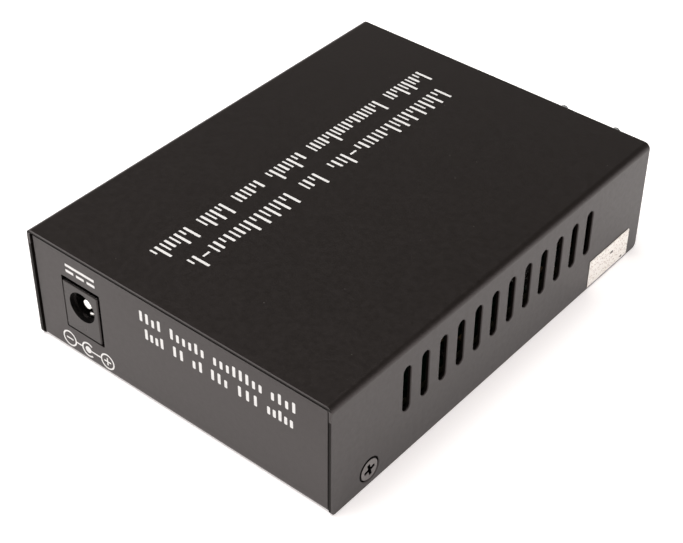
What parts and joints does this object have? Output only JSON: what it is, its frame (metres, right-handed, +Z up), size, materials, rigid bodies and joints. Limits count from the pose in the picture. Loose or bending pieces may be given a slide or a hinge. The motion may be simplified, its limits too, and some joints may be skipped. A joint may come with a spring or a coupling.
{
  "type": "fibre media converter",
  "caption": "Low black steel box with vent slots along its sides, a DC inlet at the rear, and an RJ45 socket and an SFP bay at the front.",
  "frame": {"origin": "centre of the flat underside", "axes": "+Z up, -Y out of the front with the RJ45 socket and the SFP bay, +Y out of the rear with the DC inlet, +X to the right seen from the front"},
  "size_m": [0.0711, 0.0976, 0.0248],
  "materials": {
    "case_paint": "satin black powder coat on folded steel",
    "case_paint_base": "satin black powder coat on folded steel",
    "screw_black": "black oxide",
    "post_steel": "zinc plated",
    "screw_steel": "nickel plated",
    "board_green": "green solder mask on glass-fibre laminate",
    "jack_plastic": "black moulded plastic",
    "jack_pin_metal": "nickel plated",
    "spring_metal": "nickel plated spring strip",
    "shield_metal": "tinned strip",
    "socket_plastic": "black moulded plastic",
    "contact_gold": "gold flash",
    "cage_metal": "bright nickel silver",
    "collar_metal": "bright spring strip",
    "connector_plastic": "black moulded plastic",
    "clear_plastic": "clear moulded plastic",
    "holder_plastic": "black moulded plastic",
    "lamp_lens": "diffused green epoxy",
    "lamp_body": "white lamp body",
    "chip_plastic": "black moulded epoxy",
    "lead_tin": "tinned",
    "module_plastic": "black moulded epoxy",
    "can_metal": "drawn metal can",
    "capacitor_can": "drawn aluminium can",
    "ferrite": "dark ferrite",
    "chip_ceramic": "fired ceramic",
    "label_paper": "plain paper seal, faintly speckled"
  },
  "bodies": {
    "root": {"cover": "case_paint", "base": "case_paint_base", "cover_screws": "screw_black", "board_posts": "post_steel", "board_screws": "screw_steel", "circuit_board": "board_green", "power_jack_housing": "jack_plastic", "power_jack_pin": "jack_pin_metal", "power_jack_spring": "spring_metal", "rj45_shield": "shield_metal", "rj45_housing": "socket_plastic", "rj45_contacts": "contact_gold", "sfp_cage": "cage_metal", "sfp_emi_collar": "collar_metal", "sfp_connector": "connector_plastic", "sfp_connector_contacts": "contact_gold", "light_pipe": "clear_plastic", "lamp_holder": "holder_plastic", "status_lamps": "lamp_lens", "pipe_lamps": "lamp_body", "converter_chip": "chip_plastic", "converter_chip_leads": "lead_tin", "transformer_module": "module_plastic", "transformer_leads": "lead_tin", "crystal": "can_metal", "electrolytic_capacitors": "capacitor_can", "voltage_regulator": "chip_plastic", "power_inductor": "ferrite", "protection_diode": "chip_plastic", "memory_chip": "chip_plastic", "chip_components": "chip_ceramic", "seal_label": "label_paper"}
  },
  "joints": []
}
